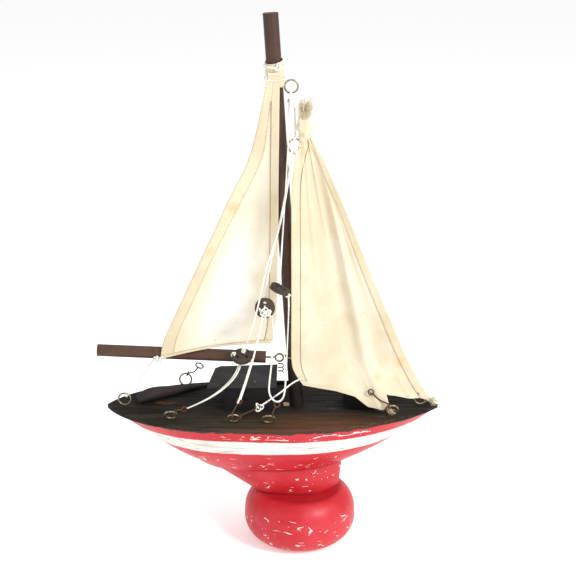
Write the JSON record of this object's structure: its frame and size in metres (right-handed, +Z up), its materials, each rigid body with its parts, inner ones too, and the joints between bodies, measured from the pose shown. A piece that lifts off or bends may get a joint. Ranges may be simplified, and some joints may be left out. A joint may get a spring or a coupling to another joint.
{
  "type": "toy sailboat",
  "caption": "Wooden toy pond yacht on a round foot: raked mast, swinging boom, cotton mainsail and jib, string rigging with wooden buttons and wire hooks.",
  "frame": {"origin": "centre of the foot's flat underside, on the surface the boat stands on", "axes": "+X towards the bow, +Z up along the mast, -Y is the side with the visible rigging"},
  "size_m": [0.2267, 0.0834, 0.3537],
  "materials": {
    "red_paint": "brushed satin paint over wood, chipped to white primer at the edges",
    "dark_stain": "near-black stain, worn brown in places",
    "brown_stain": "dark brown stain",
    "bare_wood": "unfinished",
    "brass_wire": "tarnished",
    "rusty_wire": "rusted brown",
    "sail_cotton": "unbleached plain-woven cotton, tea-coloured spots",
    "cotton_string": "twisted white cotton",
    "disc_wood": "dark turned wood"
  },
  "bodies": {
    "boat": {"hull": "red_paint", "deck": "dark_stain", "fin": "red_paint", "foot": "red_paint", "keel_dowel": "bare_wood", "mast": "brown_stain", "mast_chip": "bare_wood", "cabin": "dark_stain", "cabin_roof": "dark_stain", "roof_pin": "brass_wire", "fore_hatch": "dark_stain", "deck_strip": "dark_stain", "tiller_pin": "brass_wire", "stern_eye": "brass_wire", "aft_eye": "brass_wire", "mid_eye": "brass_wire", "front_eye": "brass_wire", "fore_eye": "brass_wire", "bow_eye": "brass_wire", "far_eye": "brass_wire", "mast_eye": "brass_wire", "mid_hook": "rusty_wire", "sheet_hook": "rusty_wire", "front_hook": "rusty_wire", "fore_hook": "rusty_wire", "bow_hook": "rusty_wire", "jib_ring": "brass_wire", "jib": "sail_cotton", "jib_halyard": "cotton_string", "front_shroud_upper": "cotton_string", "front_shroud_lower": "cotton_string", "mid_shroud_upper": "cotton_string", "mid_shroud_lower": "cotton_string", "jib_sheet": "cotton_string", "tied_disc": "disc_wood", "main_sheet": "cotton_string", "clew_line": "cotton_string", "boom_lift": "cotton_string"},
    "boom_and_sail": {"boom": "brown_stain", "boom_eye": "brass_wire", "mast_loop": "brass_wire", "boom_coil": "rusty_wire", "mainsail": "sail_cotton", "sail_collar": "sail_cotton", "boom_disc": "disc_wood"},
    "slider": {"slide_disc": "disc_wood"},
    "tiller_arm": {"tiller": "brown_stain"},
    "aft_link": {"aft_hook": "rusty_wire"},
    "far_link": {"far_hook": "rusty_wire"}
  },
  "joints": [
    {"name": "boom_swing", "type": "hinge", "parent": "boat", "child": "boom_and_sail", "pos_m": [-0.00426, 0, 0.131], "axis": [-0.0645, 0, 0.9979], "range_deg": [-25, 12], "deforming": ["main_sheet", "clew_line", "boom_lift"]},
    {"name": "tiller_swing", "type": "hinge", "parent": "boat", "child": "tiller_arm", "pos_m": [-0.108, 0.001, 0.096], "axis": [0, 0, 1], "range_deg": [-40, 2]},
    {"name": "button_slide", "type": "slide", "parent": "boat", "child": "slider", "axis": [0.047, 0.12, 0.9917], "range_m": [0, 0.018], "deforming": ["front_shroud_upper", "front_shroud_lower"]},
    {"name": "aft_hook_pivot", "type": "hinge", "parent": "boat", "child": "aft_link", "pos_m": [-0.08137, -0.02917, 0.10267], "axis": [0.766, 0.3687, -0.5265], "range_deg": [-20, 20], "deforming": ["main_sheet"]},
    {"name": "far_hook_pivot", "type": "hinge", "parent": "boat", "child": "far_link", "pos_m": [-0.0776, 0.03254, 0.10472], "axis": [0.9397, -0.0594, -0.3368], "range_deg": [-15, 10]}
  ]
}
